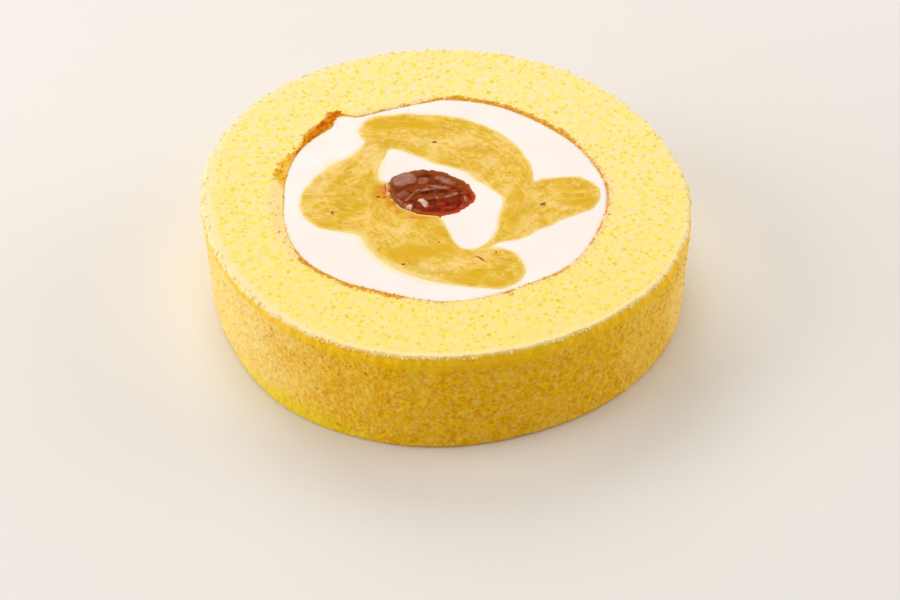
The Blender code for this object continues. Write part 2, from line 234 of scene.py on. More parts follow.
# Facets of the sauce: (x, y, half length, half width, turn in degrees, height, shine), in mm; the
# shine sets the coat and also a painted reflection in the colour.
FACETS = (
    (-7.6, 4.4, 2.2, 1.7, 20, 0.34, 0.95), (-4.0, 4.1, 1.0, 0.9, 0, 0.24, 0.65),
    (0.2, 4.1, 2.0, 0.8, -32, 0.36, 0.9), (-3.6, 6.6, 1.3, 0.7, 10, 0.16, 0.0),
    (-0.9, 2.1, 1.6, 0.5, -12, 0.32, 0.85), (-3.6, 1.5, 1.7, 0.25, 4, 0.30, 0.9),
    (-6.0, 0.0, 1.9, 0.3, 55, 0.28, 0.75), (-7.8, 0.3, 1.1, 0.8, 40, 0.16, 0.5),
    (-3.95, -2.4, 1.2, 0.6, -62, 0.36, 1.7), (1.2, -0.1, 1.25, 0.45, 18, 0.26, 0.95),
    (4.0, -1.3, 0.9, 0.45, -70, 0.20, 1.0), (3.3, -3.1, 0.6, 0.4, 30, 0.14, 0.7),
    (-6.6, -3.5, 0.8, 0.5, 55, 0.30, 1.7), (-8.1, -1.7, 0.8, 0.28, -50, 0.16, 0.9),
    (-7.3, -2.7, 0.6, 0.3, -50, 0.16, 0.9), (-1.4, -0.7, 0.35, 0.5, 10, 0.16, 0.9),
    (-2.9, -1.0, 0.8, 0.2, 0, 0.14, 0.5), (1.9, 1.4, 0.9, 0.22, 8, 0.14, 0.5),
    (3.6, 1.2, 0.9, 0.7, -50, 0.06, 0.0), (-2.1, -3.5, 0.9, 0.5, -20, 0.12, 0.0),
    (-0.4, -2.4, 0.8, 0.5, 30, 0.07, 0.0), (0.9, -3.6, 0.8, 0.4, 15, 0.11, 0.25),
    (2.2, -2.2, 0.8, 0.5, 50, 0.08, 0.0), (-5.6, 2.9, 0.7, 1.1, 0, 0.04, 0.0),
    (2.6, 2.9, 0.8, 0.5, -40, 0.12, 0.3), (-5.0, -4.4, 0.9, 0.4, -25, 0.10, 0.3),
)
# Squareness of the facets, fall of their flanks, their shift to the front in mm, where their shine
# ends and how softly, how they bend, and how high they stand.
FACET_CORNERS = 3.0
FACET_STEEPNESS = 0.8
FACET_SHIFT = 0.35
SHINE_END = 1.3
SHINE_FADE = 0.35
FACET_BEND = 0.3 * MM
FACET_BEND_SIZE = 1.2 * MM
FACET_LIMITS = (-0.3 * MM, 0.5 * MM)
FACET_RISE = 0.1 * MM
# Drops of sauce beside the core: (x, y, length, width, turn in degrees), in mm.
SAUCE_DROPS = (
    (-11.15, 1.6, 3.0, 0.55, 87), (-10.3, 1.7, 1.9, 0.6, 84), (-10.1, -0.5, 1.1, 0.5, 110),
    (-11.2, -0.7, 0.8, 0.5, 70), (-9.4, -2.3, 1.2, 0.45, 125),
)
DROP_THICKNESS = 0.3
# Stains of sauce in the sweet potato cream: (x, y, reach along x, reach along y), in mm.
SAUCE_STAINS = (
    (-11.9, 0.9, 1.5, 2.4), (-9.9, -2.4, 1.0, 1.6), (-8.4, -4.6, 0.8, 0.8), (-5.2, -6.4, 2.6, 0.6),
)
# Browned end of the rolled sheet at the seam: (x, y, half width), in mm.
SEAM = (
    (-20.1, 24.7, 0.6), (-21.2, 23.4, 0.9), (-22.7, 21.3, 1.0), (-23.7, 19.4, 0.9),
    (-24.9, 17.6, 0.8), (-26.0, 15.9, 0.6), (-26.9, 14.1, 0.35), (-27.9, 12.2, 0.3),
)
FLAKES_IN_PART = 20
# Unevenness of the small lumps, as a share of their size, and how fine it is.
LUMPINESS = 0.35
LUMP_WAVES = 1.6
# Loose grains of the sponge, how many, and kinds of grain: (smallest, largest, flatness), in mm.
FACE_GRAINS = 120
RIM_GRAINS = 800
SIDE_GRAINS = 1500
FACE_KIND = (0.14, 0.28, 0.5)
RIM_KIND = (0.16, 0.34, 0.9)
SIDE_KIND = (0.2, 0.38, 0.9)
SPECK_KIND = (0.09, 0.2, 0.7)
AMBER_KIND = (0.18, 0.42, 0.6)
# Amber crumbs beside the seam: (x, y, reach in x, reach in y, how many), in mm.
AMBER_PATCHES = (
    (-30.4, 8.6, 0.8, 1.0, 26), (-30.9, 6.4, 1.0, 1.2, 44), (-30.0, 4.9, 0.5, 1.0, 24),
    (-29.2, 11.0, 0.3, 1.5, 16), (-28.3, 13.2, 0.3, 1.4, 14),
)
# Browned crumbs of the inner edge: (from and to angle in degrees, how many, reach in mm).
EDGE_SPECKS = (
    (97, 128, 46, 0.8), (176, 212, 36, 1.6), (212, 256, 40, 0.8), (256, 292, 34, 0.5),
    (292, 345, 90, 1.3), (345, 400, 80, 0.9), (40, 97, 60, 0.8),
)

# Camera and floor.
LENS_MM = 128.0
SENSOR_MM = 36.0
CAMERA_AIM = Vector((0.9 * MM, -4.93 * MM, 0.0))
CAMERA_REACH = 598.9 * MM
CAMERA_RISE = math.radians(41.58)
FLOOR_SIZE = 3.0

# Lamps: (name, place, size, power, colour).
DAYLIGHT = (1.0, 0.985, 0.965)
WARM_LIGHT = (1.0, 0.98, 0.95)
LAMPS = (
    ("window", (-0.30, 0.84, 0.80), 0.72, 5.0, DAYLIGHT),
    ("above", (0.0, 0.02, 1.20), 0.50, 2.0, DAYLIGHT),
    ("left", (-0.90, -0.10, 0.42), 0.70, 4.8, WARM_LIGHT),
    ("right", (0.90, 0.25, 0.35), 0.70, 3.4, WARM_LIGHT),
)
WORLD_STRENGTH = 0.445


def paint(red, green, blue):
    """Linear colour for a colour given as three numbers up to 255."""
    shares = [level / 255.0 for level in (red, green, blue)]
    return tuple(s / 12.92 if s <= 0.04045 else ((s + 0.055) / 1.055) ** 2.4 for s in shares)


class Value:
    """A value in a finish, on which Python's operators add Math nodes."""

    def __init__(self, finish, socket):
        self.finish = finish
        self.socket = socket

    def worked(self, operation, *others):
        sockets = {index: other for index, other in enumerate((self, *others))}
        return self.finish.add("ShaderNodeMath", {"operation": operation}, sockets)

    def __add__(self, other):
        return self.worked("ADD", other)

    __radd__ = __add__

    def __sub__(self, other):
        return self.worked("SUBTRACT", other)

    def __rsub__(self, other):
        return self.finish.add("ShaderNodeMath", {"operation": "SUBTRACT"}, {0: other, 1: self})

    def __mul__(self, other):
        return self.worked("MULTIPLY", other)

    __rmul__ = __mul__

    def between(self, low, high):
        """0 at low, 1 at high and a smooth step between them."""
        settings = {"interpolation_type": "SMOOTHSTEP"}
        return self.finish.add("ShaderNodeMapRange", settings,
                               {"Value": self, "From Min": low, "From Max": high})


class Finish:
    """A procedural material of one of the cake's pieces."""

    def __init__(self, name, roughness, gloss):
        self.material = bpy.data.materials.new(name)
        self.material.use_nodes = True
        self.tree = self.material.node_tree
        self.shader = self.tree.nodes["Principled BSDF"]
        self.shader.inputs["Roughness"].default_value = roughness
        self.shader.inputs["Specular IOR Level"].default_value = gloss

    def feed(self, socket, value):
        """Link a value to a socket, or set the socket to a plain number, colour or vector."""
        if isinstance(value, Value):
            self.tree.links.new(value.socket, socket)
        elif isinstance(value, tuple) and len(value) == 3 and len(socket.default_value) == 4:
            socket.default_value = (*value, 1.0)
        else:
            socket.default_value = value

    def add(self, kind, settings, sockets, output=0):
        """Add a node: its settings first, then its sockets. Returns one of its outputs."""
        node = self.tree.nodes.new(kind)
        for key, setting in settings.items():
            setattr(node, key, setting)
        for key, value in sockets.items():
            self.feed(node.inputs[key], value)
        return Value(self, node.outputs[output])

    def place(self, shift=(0.0, 0.0, 0.0), stretch=(1.0, 1.0, 1.0)):
        """Object coordinates in millimetres."""
        spot = self.add("ShaderNodeTexCoord", {}, {}, "Object")
        scale = tuple(share / MM for share in stretch)
        return self.add("ShaderNodeMapping", {}, {"Vector": spot, "Location": shift, "Scale": scale})

    def along(self, stretch):
        """The piece's own map, which follows the way it was piped, in millimetres."""
        spot = self.add("ShaderNodeUVMap", {"uv_map": "flow"}, {})
        return self.add("ShaderNodeMapping", {}, {"Vector": spot, "Scale": (*stretch, 1.0)})

    def grain(self, spot, scale, detail=2.0, roughness=0.5, distortion=0.0):
        """Noise from 0 to 1."""
        return self.add("ShaderNodeTexNoise", {}, {
            "Vector": spot, "Scale": scale, "Detail": detail, "Roughness": roughness,
            "Distortion": distortion,
        })

    def cells(self, spot, scale, randomness=1.0):
        """Distance to the nearest cell's middle."""
        return self.add("ShaderNodeTexVoronoi", {}, {
            "Vector": spot, "Scale": scale, "Randomness": randomness,
        })

    def mark(self, name):
        """A number that the piece carries at each of its points."""
        return self.add("ShaderNodeAttribute", {"attribute_name": name}, {}, "Fac")

    def mix(self, share, first, second):
        """From the first colour at 0 to the second at 1."""
        return self.add("ShaderNodeMix", {"data_type": "RGBA"}, {0: share, 6: first, 7: second}, 2)

    def layered(self, base, *layers):
        """Lay colours over a base, each given as (share from 0 to 1, colour)."""
        for share, colour in layers:
            base = self.mix(share, base, colour)
        return base

    def bump(self, height, depth):
        """Fine relief, with its depth in metres."""
        relief = self.add("ShaderNodeBump", {}, {"Height": height, "Distance": depth})
        self.feed(self.shader.inputs["Normal"], relief)

    def colour(self, value):
        self.feed(self.shader.inputs["Base Color"], value)

    def coat(self, weight, roughness):
        """A wet layer of the given strength."""
        self.feed(self.shader.inputs["Coat Weight"], weight)
        self.shader.inputs["Coat Roughness"].default_value = roughness

    def soften(self, weight, reach, colour):
        """Let light pass a little way into the surface."""
        self.shader.inputs["Subsurface Weight"].default_value = weight
        self.shader.inputs["Subsurface Scale"].default_value = reach
        self.shader.inputs["Subsurface Radius"].default_value = colour


def golden_colour(finish, spot):
    """Golden, gritty colour of the sponge's side, paler where the piece's mark says so."""
    grains = 1.0 - finish.cells(spot, 0.95).between(0.15, 0.6)
    grit = 1.0 - finish.cells(spot, 1.8).between(0.2, 0.6)
    specks = finish.grain(spot, 1.2, 3.0, 0.6)
    patches = finish.grain(spot, 0.16, 3.0)
    # The pale mark paints the side paler at its left and right: partly paler crumb, partly painted
    # light and sheen on the lit flanks.
    pale = (finish.mark("pale") + (patches - 0.5) * 0.6).between(0.0, 1.0)
    pale_lit_colour = finish.mix(specks.between(0.34, 0.66), paint(251, 216, 88), paint(255, 234, 176))
    lemon = (finish.mark("lemon") * 1.4 + specks * 1.6 - 1.3).between(0.0, 0.7)
    peach = (grains * 0.55 + grit * 0.4) * finish.grain(spot, 0.45, 2.0).between(0.3, 0.6)
    pit = finish.mark("pit").between(0.15, 0.85)
    return finish.layered(
        finish.mix(specks.between(0.34, 0.66), paint(230, 160, 0), paint(252, 206, 8)),
        (patches.between(0.42, 0.62) * 0.5, paint(248, 198, 0)),
        (pale, pale_lit_colour),
        (lemon * 0.85, paint(246, 220, 0)),
        (peach * 0.85, paint(255, 208, 112)),
        # Painted shade: the gaps between the grains are painted a deeper gold.
        (pit * 0.35 * (1.0 - pale * 0.6), paint(228, 164, 0)),
    )


def crumb_finish(name="sponge_crumb", soft=True):
    """Pale yellow crumb with lemon bubbles, browned along its inner edge."""
    finish = Finish(name, 0.85, 0.05)
    spot = finish.place()
    big_dots = 1.0 - finish.cells(spot, 0.62).between(0.12, 0.36)
    small_dots = 1.0 - finish.cells(spot, 1.3).between(0.10, 0.42)
    dot_field = finish.grain(spot, 0.5, 1.0).between(0.40, 0.60)
    dots = small_dots * dot_field * 0.55 + big_dots * 0.75
    depth = (finish.mark("pit").between(0.0, 0.8) * 0.75 + dots).between(0.0, 1.1)
    mottle = finish.grain(spot, 0.7, 3.0, 0.6)
    specks = finish.grain(spot, 1.6, 2.0, 0.6)
    ragged = (finish.grain(spot, 1.8, 3.0, 0.7) - 0.5) * 1.6
    tatter = finish.grain(spot, 0.45, 2.0).between(0.35, 0.6)
    teeth = (finish.grain(spot, 0.8, 2.0, 0.6) - 0.5) * 2.2 + ragged * 0.4
    rim = (finish.mark("rim") + ragged * 0.4).between(0.0, 0.6)
    peach = (finish.mark("peach") + ragged * 1.5).between(-0.3, 1.2)
    amber = (finish.mark("amber") + ragged * 1.3 - 0.1).between(0.0, 0.8)
    brown = (finish.mark("browned") + ragged * 1.1 + tatter * 0.5 - 0.3).between(0.0, 0.5)
    golden_skin_painted_lit = 1.0 - (finish.mark("in_from_rim") + teeth * 0.8).between(-1.0, 0.5)
    finish.colour(finish.layered(
        finish.mix(mottle.between(0.40, 0.60), paint(253, 232, 126), paint(255, 232, 176)),
        (specks.between(0.52, 0.66) * 0.8, paint(255, 226, 184)),
        ((1.0 - specks.between(0.34, 0.48)) * 0.6, paint(250, 226, 96)),
        (finish.mark("rich").between(0.0, 1.0) * 0.35, paint(251, 222, 100)),
        # Painted shade: the bubbles and pores are painted a deeper, more saturated lemon for the
        # shaded light inside them, and a darker tan near the peach edge.
        (depth * 0.95, paint(234, 213, 40)),
        (rim * 0.75, paint(255, 232, 184)),
        (peach * (mottle.between(0.38, 0.6) * 0.5 + 0.35), paint(254, 216, 158)),
        (peach * (depth * 0.5 + specks.between(0.56, 0.66) * 0.35), paint(214, 172, 84)),
        (amber * (mottle.between(0.4, 0.6) * 0.3 + 0.6), paint(236, 176, 24)),
        (brown * 0.85, finish.mix(specks.between(0.4, 0.6), paint(198, 124, 10), paint(232, 164, 20))),
        # Where the golden skin shows on the rim it keeps its own colour, lightened to a brighter gold
        # as painted light on the rounded corner.
        (golden_skin_painted_lit, finish.mix(0.8, golden_colour(finish, spot), paint(255, 203, 34))),
    ))
    finish.bump(specks * 0.5 + mottle * 0.5, 0.10 * MM)
    if soft:
        finish.soften(0.12, 0.5 * MM, (1.0, 0.7, 0.4))
    return finish.material


def skin_finish(name="sponge_side", soft=True):
    """Golden, gritty side of the sponge, with paler grains."""
    finish = Finish(name, 0.85, 0.05)
    spot = finish.place()
    base = golden_colour(finish, spot)
    # Painted light: just under the rim the side is painted a brighter gold, as if it were lit more
    # than lower down.
    band = finish.mark("band") * (1.0 - finish.mark("pale"))
    base = finish.mix(band.between(0.1, 0.9) * 0.85, base, paint(255, 198, 0))
    finish.colour(base)
    finish.bump(finish.grain(spot, 2.3, 2.0), 0.13 * MM)
    if soft:
        finish.soften(0.15, 0.6 * MM, (1.0, 0.6, 0.15))
    return finish.material


def seam_finish():
    """Orange-brown skin of the rolled sheet, where it shows at the seam."""
    finish = Finish("browned_skin", 0.8, 0.05)
    spot = finish.place()
    tone = finish.grain(spot, 0.9, 3.0, 0.65)
    base = finish.mix(tone.between(0.3, 0.7), paint(192, 88, 0), paint(230, 140, 6))
    finish.colour(base)
    finish.bump(finish.grain(spot, 2.2, 2.0), 0.15 * MM)
    return finish.material


def amber_finish():
    """Amber crumbs, soaked and browned, beside the browned skin."""
    finish = Finish("amber_crumbs", 0.8, 0.2)
    spot = finish.place()
    tone = finish.grain(spot, 1.2, 3.0, 0.65)
    base = finish.mix(tone.between(0.35, 0.5), paint(224, 146, 4), paint(242, 184, 8))
    finish.colour(finish.mix(tone.between(0.56, 0.68), base, paint(253, 212, 110)))
    finish.bump(finish.grain(spot, 2.2, 2.0), 0.12 * MM)
    return finish.material


def speck_finish():
    """Browned crumbs, from peach to brown, one tone for each."""
    finish = Finish("edge_specks", 0.8, 0.2)
    spot = finish.place()
    tone = finish.grain(spot, 0.6, 1.0)
    base = finish.mix(tone.between(0.40, 0.52), paint(206, 150, 60), paint(238, 194, 110))
    base = finish.mix(tone.between(0.52, 0.60), base, paint(253, 226, 162))
    finish.colour(base)
    return finish.material


def whipped_cream_finish():
    """Matte white cream, tinted where it meets the sweet potato cream."""
    finish = Finish("whipped_cream", 0.5, 0.15)
    spot = finish.place()
    clouds = finish.grain(spot, 0.12, 2.0)
    ragged = (finish.grain(spot, 1.0, 3.0, 0.6) - 0.5) * 1.2
    blush = finish.grain(spot, 0.9, 2.0).between(0.40, 0.64)
    near = 1.0 - (finish.mark("to_swirl") + ragged * 0.5).between(-0.3, 0.8)
    smear = (finish.mark("smear") + ragged * 0.3).between(-0.2, 0.5)
    edge = 1.0 - (finish.mark("to_sponge") + ragged * 0.4).between(0.0, 0.8)
    finish.colour(finish.layered(
        finish.mix(clouds.between(0.3, 0.7), paint(250, 236, 228), paint(252, 240, 234)),
        (near * 0.75, paint(252, 226, 146)),
        (smear, paint(240, 200, 80)),
        # Along the sponge the cream is tinted peach: partly the sponge's colour at the cream's edge
        # and partly painted shade in the crease where they meet.
        (edge * (blush * 0.5 + 0.25), paint(246, 206, 150)),
    ))
    finish.bump(finish.grain(spot, 0.8, 3.0, 0.6), 0.04 * MM)
    finish.soften(0.2, 0.6 * MM, (1.0, 0.9, 0.8))
    return finish.material


def sweet_potato_finish():
    """Golden sweet potato cream, cloudy, with faint strands along the piped bands."""
    finish = Finish("sweet_potato_cream", 0.5, 0.12)
    spot = finish.place()
    strands = finish.grain(finish.along((0.30, 1.0)), 0.8, 3.0, 0.6, 1.2)
    threads = finish.grain(finish.along((0.24, 1.0)), 2.2, 2.0, 0.6, 0.8)
    clouds = finish.grain(spot, 0.26, 4.0, 0.6, 0.5)
    flecks = finish.grain(spot, 0.9, 4.0, 0.65, 0.4)
    ragged = (finish.grain(spot, 1.0, 3.0, 0.6) - 0.5) * 0.8
    pale = (finish.mark("pale") + (flecks - 0.5) * 2.0).between(0.1, 1.0)
    deep = (finish.mark("deep") + (flecks - 0.5) * 1.4).between(0.15, 0.95)
    by_sauce = (1.0 - finish.mark("to_sauce").between(0.2, 1.4)) * 0.9
    stain = (finish.mark("stain") + by_sauce + (flecks - 0.5)).between(0.1, 0.8)
    near = 1.0 - (finish.mark("to_edge") + ragged).between(-0.2, 0.7)
    finish.colour(finish.layered(
        finish.mix(clouds.between(0.38, 0.50), paint(220, 174, 10), paint(232, 188, 44)),
        (clouds.between(0.50, 0.62), paint(243, 203, 98)),
        (strands.between(0.50, 0.66) * 0.5, paint(206, 162, 8)),
        ((1.0 - strands.between(0.34, 0.48)) * 0.45, paint(248, 208, 122)),
        (threads.between(0.54, 0.68) * 0.5, paint(190, 148, 18)),
        ((1.0 - threads.between(0.32, 0.45)) * 0.3, paint(250, 214, 138)),
        (flecks.between(0.52, 0.62) * 0.6, paint(248, 204, 126)),
        ((1.0 - flecks.between(0.36, 0.46)) * 0.55, paint(216, 176, 20)),
        (pale * 0.45, paint(254, 220, 146)),
        (deep * 0.8, paint(222, 172, 0)),
        (stain * 0.9, paint(218, 146, 8)),
        (near * 0.7, paint(253, 228, 152)),
    ))
    finish.bump(strands + threads * 0.6, 0.08 * MM)
    finish.soften(0.12, 0.5 * MM, (1.0, 0.75, 0.3))
    return finish.material


def sauce_finish():
    """Dark, wet caramel that turns orange where it thins out at its edge."""
    finish = Finish("caramel_sauce", 0.4, 0.02)
    spot = finish.place()
    clots = finish.grain(spot, 0.7, 3.0, 0.6)
    shine = finish.mark("shine")
    thin = 1.0 - (finish.mark("to_edge") + (clots - 0.5) * 1.6).between(-0.2, 1.2)
    warm_tone = finish.mix(clots.between(0.4, 0.6), paint(112, 6, 0), paint(152, 30, 0))
    thin_tone = finish.mix(finish.mark("red"), paint(156, 88, 10), paint(206, 76, 2))
    finish.colour(finish.layered(
        finish.mix(clots.between(0.36, 0.64), paint(108, 34, 0), paint(150, 64, 10)),
        (finish.mark("warm").between(0.5, 0.9) * 0.8, warm_tone),
        (thin * 0.85, thin_tone),
        # Painted reflection: where the plates shine, the colour is lightened to a pinkish brown, and
        # to a pale pink glint where they shine most.
        (shine.between(0.0, 1.0) * 0.6, paint(150, 82, 54)),
        (shine.between(0.8, 1.6) * 0.9, paint(222, 170, 154)),
    ))
    finish.coat(shine.between(0.0, 1.4) * 0.85 + 0.05, 0.14)
    finish.bump(finish.grain(spot, 0.9, 2.0), 0.03 * MM)
    return finish.material


def drop_finish():
    """Thin, orange drops of the sauce."""
    finish = Finish("caramel_drops", 0.2, 0.5)
    spot = finish.place()
    tone = finish.grain(spot, 1.2, 2.0)
    finish.colour(finish.mix(tone.between(0.35, 0.65), paint(196, 84, 10), paint(222, 128, 24)))
    return finish.material


def fibre_finish():
    """Dark red-brown bits of sweet potato skin."""
    finish = Finish("sweet_potato_skin", 0.5, 0.4)
    spot = finish.place()
    tone = finish.grain(spot, 2.0, 2.0)
    finish.colour(finish.mix(tone.between(0.3, 0.7), paint(132, 52, 14), paint(178, 96, 26)))
    return finish.material


def floor_finish():
    """Pale matte floor with a faint cloudiness."""
    finish = Finish("floor", 0.6, 0.3)
    clouds = finish.grain(finish.place(), 0.01, 2.0)
    finish.colour(finish.mix(clouds, paint(230, 226, 220), paint(234, 230, 225)))
    return finish.material


def outline_table(count, level):
    """Inner and outer radius of the sponge at a height, by angle, the outer one smoothed."""
    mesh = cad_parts["sponge"].data
    tree = BVHTree.FromPolygons([v.co for v in mesh.vertices], [p.vertices for p in mesh.polygons])
    far = 2.0 * SPONGE_HIGH.x
    inner = []
    outer = []
    for index in range(count):
        angle = math.tau * index / count
        ray = Vector((math.cos(angle), math.sin(angle), 0.0))
        start = Vector((0.0, 0.0, level))
        inner.append((tree.ray_cast(start, ray)[0] - start).length)
        outer.append((tree.ray_cast(start + ray * far, -ray)[0] - start).length)
    outer = np.array(outer)
    kernel = np.hanning(OUTLINE_BLUR)
    kernel /= kernel.sum()
    reach = len(kernel) // 2
    wrapped = np.concatenate([outer[-reach:], outer, outer[:reach]])
    return np.array(inner), np.convolve(wrapped, kernel, "valid")


INNER_TABLE, OUTER_TABLE = outline_table(TABLE_SIZE, RIM_LEVEL)
FOOT_TABLE = outline_table(TABLE_SIZE, FOOT_LEVEL)[1]


def read_table(table, angles):
    """Read a table of radii at any angles."""
    turns = np.mod(angles, math.tau) / math.tau * TABLE_SIZE
    return np.interp(turns, np.arange(TABLE_SIZE + 1), np.append(table, table[0]))


def outer_radius(angles, heights):
    """Radius of the sponge's outside at any angles and heights."""
    upper = read_table(OUTER_TABLE, angles)
    lower = read_table(FOOT_TABLE, angles)
    return lower + (upper - lower) * (heights - FOOT_LEVEL) / (RIM_LEVEL - FOOT_LEVEL)


def noise_at(points, size, seed=0.0):
    """Smooth noise from about -1 to 1 at each point."""
    shift = Vector((seed, 2.0 * seed, 3.0 * seed))
    return np.array([noise.noise(Vector(point) + shift) for point in points / size])


def cells_at(points, size):
    """Distance to the nearest cell's middle, in cell sizes, and a random number for the cell."""
    near = np.empty(len(points))
    lots = np.empty(len(points))
    for index, point in enumerate(points / size):
        distances, middles = noise.voronoi(Vector(point))
        near[index] = distances[0]
        lots[index] = noise.cell(middles[0] * 7.3)
    return near, lots * 0.5 + 0.5


def swells_at(points, swells):
    """Sum of noises of several sizes, each with its own height."""
    return sum(height * noise_at(points, size, index) for index, (size, height) in enumerate(swells))


def crumb_relief(points):
    """Height of the open crumb at each point, and how deep it lies in a bubble."""
    height = swells_at(points, CRUMB_SWELLS)
    pit = np.zeros(len(points))
    for size, share, widest, depth in BUBBLES:
        near, lots = cells_at(points, size)
        grown = 0.5 + 0.5 * lots / share
        hollow = np.where(lots < share, np.clip(1.0 - (near / (widest * grown)) ** 2, 0.0, 1.0), 0.0)
        height -= depth * hollow * grown
        pit = np.maximum(pit, hollow)
    return height, pit


def grit_relief(points):
    """Height of the sponge's gritty side at each point, and how deep it lies between grains."""
    height = swells_at(points, SKIN_SWELLS)
    gaps = np.ones(len(points))
    for size, depth in GRIT_CELLS:
        near, lots = cells_at(points, size)
        grains = np.clip(1.0 - (near / GRIT_WIDTH) ** 2, 0.0, 1.0) * (0.4 + 0.6 * lots)
        height += depth * (grains - 0.4)
        gaps = np.minimum(gaps, 1.0 - 2.0 * grains)
    return height, np.clip(gaps, 0.0, 1.0)


def by_angle(table, angles):
    """Read a table of (angle in degrees, number) at any angles."""
    knots = np.array(table)
    return np.interp(np.degrees(angles) % 360.0, knots[:, 0], knots[:, 1], period=360.0)


def get_points(mesh):
    points = np.empty(len(mesh.vertices) * 3)
    mesh.vertices.foreach_get("co", points)
    return points.reshape(-1, 3)


def get_normals(mesh):
    normals = np.empty(len(mesh.vertices) * 3)
    mesh.vertices.foreach_get("normal", normals)
    return normals.reshape(-1, 3)


def set_points(mesh, points):
    mesh.vertices.foreach_set("co", points.ravel())
    mesh.update()


def set_marks(mesh, **marks):
    """Store numbers at each point of a mesh, under one or more names."""
    for name, values in marks.items():
        mark = mesh.attributes.new(name, "FLOAT", "POINT")
        mark.data.foreach_set("value", np.asarray(values, np.float32))


def add_piece(name, mesh, material, node):
    """Add a finished piece that rides on the cake. The large ones stand for a node."""
    mesh.materials.clear()
    mesh.materials.append(material)
    if node:
        mesh.shade_smooth()
    else:
        mesh.shade_flat()
    piece = bpy.data.objects.new(name, mesh)
    bpy.context.scene.collection.objects.link(piece)
    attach(piece, "root")
    if node:
        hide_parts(node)
    return piece


def turn_ring(name, corners):
    """Turn a closed section round the Z axis. A corner is (radius, height, cell of its side)."""
    builder = bmesh.new()
    posts = [builder.verts.new((radius, 0.0, height)) for radius, height, _ in corners]
    sides = [builder.edges.new((post, posts[(index + 1) % len(posts)]))
             for index, post in enumerate(posts)]
    for side, (_, _, cell) in zip(sides, corners):
        cuts = max(0, round(side.calc_length() / cell) - 1)
        if cuts:
            bmesh.ops.subdivide_edges(builder, edges=[side], cuts=cuts)
    turn = math.tau / 2 ** SECTOR_DOUBLINGS
    bmesh.ops.spin(builder, geom=builder.verts[:] + builder.edges[:], axis=(0.0, 0.0, 1.0),
                   cent=(0.0, 0.0, 0.0), angle=turn, steps=SECTOR_STEPS)
    for doubling in range(SECTOR_DOUBLINGS):
        whole = builder.verts[:] + builder.edges[:] + builder.faces[:]
        copied = bmesh.ops.duplicate(builder, geom=whole)["geom"]
        corner_copies = [part for part in copied if isinstance(part, bmesh.types.BMVert)]
        bmesh.ops.rotate(builder, verts=corner_copies, cent=(0.0, 0.0, 0.0),
                         matrix=Matrix.Rotation(turn * 2 ** doubling, 3, "Z"))
    bmesh.ops.remove_doubles(builder, verts=builder.verts, dist=WELD)
    bmesh.ops.recalc_face_normals(builder, faces=builder.faces)
    mesh = bpy.data.meshes.new(name)
    builder.to_mesh(mesh)
    builder.free()
    return mesh


MEAN_INNER = float(INNER_TABLE.mean())
MEAN_OUTER = float(OUTER_TABLE.mean())


def fit_to_roll(mesh):
    """Push a turned ring out to the roll's outlines. Returns points, angles and radii."""
    points = get_points(mesh)
    radii = np.hypot(points[:, 0], points[:, 1])
    angles = np.arctan2(points[:, 1], points[:, 0])
    share = (radii - MEAN_INNER) / (MEAN_OUTER - MEAN_INNER)
    inner = read_table(INNER_TABLE, angles) - OVERLAP / 2.0
    outer = outer_radius(angles, points[:, 2])
    radii = inner + share * (outer - inner)
    points[:, 0] = radii * np.cos(angles)
    points[:, 1] = radii * np.sin(angles)
    set_points(mesh, points)
    return points, angles, radii


def rim_swell(points, angles):
    """Sideways raggedness of the rim, the same for the crumb and the skin below it."""
    return swells_at(points * (1.0, 1.0, 0.25), RIM_SWELLS) * by_angle(RAGGED_RIM, angles)


def rim_distance(from_outer, below, angles):
    """Distance in mm inwards from where the golden skin begins, below 0 on the skin."""
    inwards = np.clip(from_outer - RIM_INSET / MM, 0.0, None)
    inwards -= RIM_SLOPE * np.clip(below, 0.0, None)
    return inwards - by_angle(WORN_RIM, angles)


